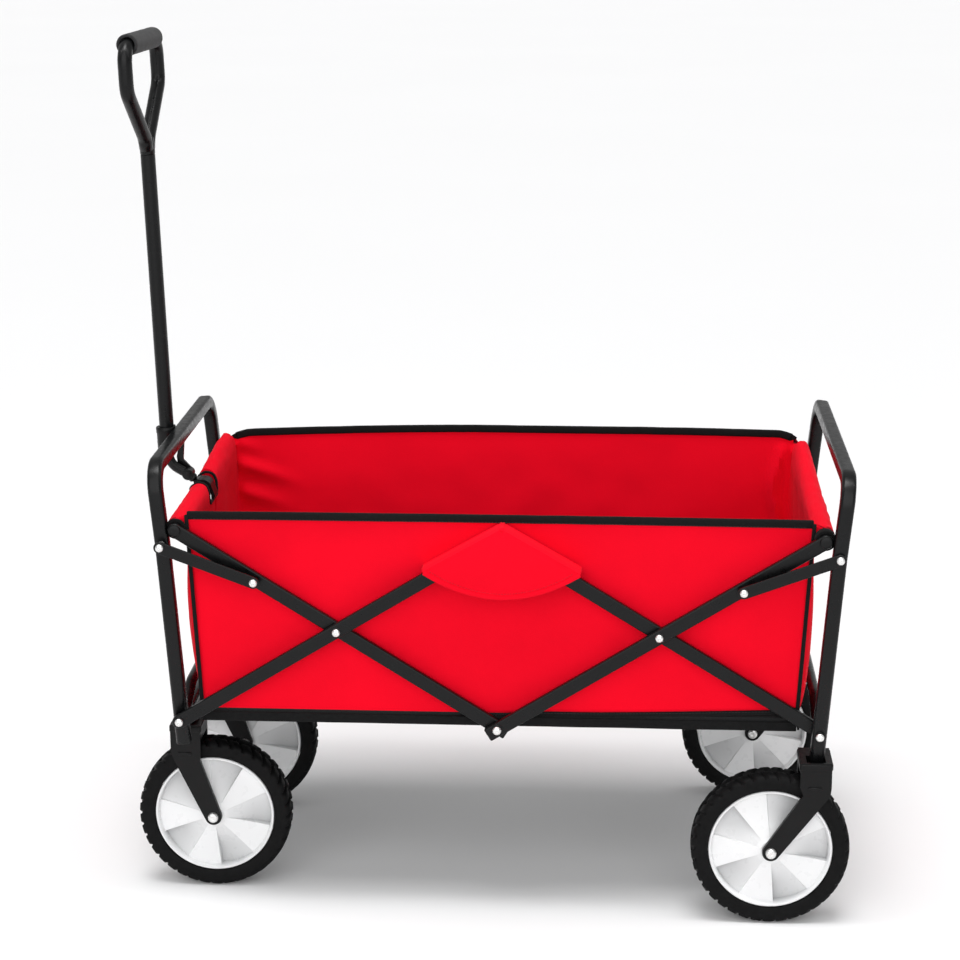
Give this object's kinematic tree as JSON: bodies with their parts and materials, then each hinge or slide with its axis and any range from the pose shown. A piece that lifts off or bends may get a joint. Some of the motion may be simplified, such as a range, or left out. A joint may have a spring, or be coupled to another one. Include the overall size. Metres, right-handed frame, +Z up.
{
  "type": "folding wagon with pull handle",
  "caption": "Folding fabric-sided wagon on a steel scissor frame, with swivelling front wheels, fixed rear wheels and a telescopic pull handle.",
  "frame": {"origin": "on the floor, under the centre of the wagon's bounding box with the handle upright and pushed in", "axes": "+Z up, +X towards the rear wheels, -X towards the pull handle, +Y the wagon's left-to-right width, away from the near side"},
  "size_m": [0.8551, 0.4586, 1.0115],
  "materials": {
    "frame_steel": "satin black powder coat",
    "bright_steel": "bright zinc",
    "inner_tube_steel": "satin black",
    "moulding_black": "fine matt grain",
    "cloth_red": "plain polyester weave, coated inside",
    "cloth_roll_red": "plain polyester weave",
    "mat_black": "felted mat",
    "board_black": "fibreboard edge, matt",
    "rim_white": "moulded white, glossy",
    "tyre_black": "matt moulded rubber",
    "grip_foam": "fine foam",
    "saddle_grey": "moulded grey nylon"
  },
  "bodies": {
    "front_frame": {"front_hoop": "frame_steel", "front_cross_tube": "frame_steel", "front_beam": "frame_steel", "handle_bracket": "frame_steel", "handle_hinge_pin": "bright_steel"},
    "front_base_bars": {"front_base_bar_near": "frame_steel", "front_base_bar_far": "frame_steel", "front_cross_rivet_near": "bright_steel", "front_cross_rivet_far": "bright_steel", "top_centre_rivet_near": "bright_steel", "top_centre_rivet_far": "bright_steel"},
    "front_top_bars": {"front_top_bar_near": "frame_steel", "front_top_bar_far": "frame_steel", "front_end_tube": "frame_steel", "front_sleeve": "cloth_roll_red", "handle_saddle": "saddle_grey", "bottom_centre_tube": "frame_steel"},
    "rear_top_bars": {"rear_top_bar_near": "frame_steel", "rear_top_bar_far": "frame_steel", "rear_end_tube": "frame_steel", "rear_sleeve": "cloth_roll_red", "rear_cross_rivet_near": "bright_steel", "rear_cross_rivet_far": "bright_steel"},
    "rear_base_bars": {"rear_base_bar_near": "frame_steel", "rear_base_bar_far": "frame_steel"},
    "rear_frame": {"rear_hoop": "frame_steel", "rear_cross_tube": "frame_steel", "rear_fork_near": "moulding_black", "rear_fork_far": "moulding_black", "rear_axle_near": "bright_steel", "rear_axle_far": "bright_steel"},
    "basket": {"near_panel": "cloth_red", "far_panel": "cloth_red", "front_panel": "cloth_red", "rear_panel": "cloth_red", "floor_board": "board_black", "floor_mat": "mat_black", "near_flap": "cloth_red", "far_flap": "cloth_red"},
    "front_links": {"front_link_near": "frame_steel", "front_link_far": "frame_steel"},
    "rear_links": {"rear_link_near": "frame_steel", "rear_link_far": "frame_steel"},
    "handle_lower": {"handle_inner_tube": "inner_tube_steel"},
    "handle_upper": {"handle_pole": "frame_steel", "handle_collar": "moulding_black", "handle_loop": "frame_steel", "handle_grip": "grip_foam"},
    "front_caster_near": {"front_fork_near": "moulding_black", "front_axle_near": "bright_steel"},
    "front_caster_far": {"front_fork_far": "moulding_black", "front_axle_far": "bright_steel"},
    "front_wheel_near": {"front_tyre_near": "tyre_black", "front_rim_near": "rim_white"},
    "front_wheel_far": {"front_tyre_far": "tyre_black", "front_rim_far": "rim_white"},
    "rear_wheel_near": {"rear_tyre_near": "tyre_black", "rear_rim_near": "rim_white"},
    "rear_wheel_far": {"rear_tyre_far": "tyre_black", "rear_rim_far": "rim_white"}
  },
  "joints": [
    {"name": "fold", "type": "hinge", "parent": "front_frame", "child": "front_base_bars", "pos_m": [-0.3525, 0, 0.2325], "axis": [0, -1, 0], "range_deg": [0, 48], "deforming": ["near_panel", "far_panel", "front_panel", "rear_panel", "near_flap", "far_flap", "floor_board", "floor_mat"]},
    {"name": "front_cross_pivot", "type": "hinge", "parent": "front_base_bars", "child": "front_top_bars", "pos_m": [-0.1675, 0, 0.345], "axis": [0, -1, 0], "range_deg": [-96, 0]},
    {"name": "bottom_centre_pivot", "type": "hinge", "parent": "front_top_bars", "child": "rear_top_bars", "pos_m": [0.0175, 0, 0.23], "axis": [0, -1, 0], "range_deg": [0, 96]},
    {"name": "rear_cross_pivot", "type": "hinge", "parent": "rear_top_bars", "child": "rear_base_bars", "pos_m": [0.2025, 0, 0.345], "axis": [0, -1, 0], "range_deg": [-96, 0]},
    {"name": "rear_base_pivot", "type": "hinge", "parent": "rear_base_bars", "child": "rear_frame", "pos_m": [0.3875, 0, 0.2325], "axis": [0, -1, 0], "range_deg": [0, 48]},
    {"name": "basket_rise", "type": "hinge", "parent": "front_base_bars", "child": "basket", "pos_m": [0.0175, 0, 0.46], "axis": [0, -1, 0], "range_deg": [-48, 0]},
    {"name": "front_link_pivot", "type": "hinge", "parent": "front_frame", "child": "front_links", "pos_m": [-0.368, 0, 0.444], "axis": [0, -1, 0], "range_deg": [0, 92.12]},
    {"name": "rear_link_pivot", "type": "hinge", "parent": "rear_frame", "child": "rear_links", "pos_m": [0.403, 0, 0.444], "axis": [0, -1, 0], "range_deg": [-92.12, 0]},
    {"name": "handle_swing", "type": "hinge", "parent": "front_frame", "child": "handle_lower", "pos_m": [-0.3705, 0, 0.478], "axis": [0, -1, 0], "range_deg": [0, 110]},
    {"name": "handle_slide", "type": "slide", "parent": "handle_lower", "child": "handle_upper", "axis": [-0.0358, 0, 0.9994], "range_m": [0, 0.22]},
    {"name": "front_swivel_near", "type": "hinge", "parent": "front_frame", "child": "front_caster_near", "pos_m": [-0.3565, -0.126, 0.19], "axis": [0, 0, 1], "continuous": true},
    {"name": "front_swivel_far", "type": "hinge", "parent": "front_frame", "child": "front_caster_far", "pos_m": [-0.3565, 0.126, 0.19], "axis": [0, 0, 1], "continuous": true},
    {"name": "front_wheel_near_spin", "type": "hinge", "parent": "front_caster_near", "child": "front_wheel_near", "pos_m": [-0.3255, -0.126, 0.092], "axis": [0, 1, 0], "continuous": true},
    {"name": "front_wheel_far_spin", "type": "hinge", "parent": "front_caster_far", "child": "front_wheel_far", "pos_m": [-0.3255, 0.126, 0.092], "axis": [0, 1, 0], "continuous": true},
    {"name": "rear_wheel_near_spin", "type": "hinge", "parent": "rear_frame", "child": "rear_wheel_near", "pos_m": [0.3355, -0.198, 0.092], "axis": [0, 1, 0], "continuous": true},
    {"name": "rear_wheel_far_spin", "type": "hinge", "parent": "rear_frame", "child": "rear_wheel_far", "pos_m": [0.3355, 0.198, 0.092], "axis": [0, 1, 0], "continuous": true}
  ],
  "couplings": [
    {"joint": "front_cross_pivot", "follows": "fold", "ratio": -2},
    {"joint": "bottom_centre_pivot", "follows": "fold", "ratio": 2},
    {"joint": "rear_cross_pivot", "follows": "fold", "ratio": -2},
    {"joint": "rear_base_pivot", "follows": "fold", "ratio": 1},
    {"joint": "basket_rise", "follows": "fold", "ratio": -1},
    {"joint": "front_link_pivot", "follows": "fold", "ratio": 1.919},
    {"joint": "rear_link_pivot", "follows": "fold", "ratio": -1.919}
  ]
}
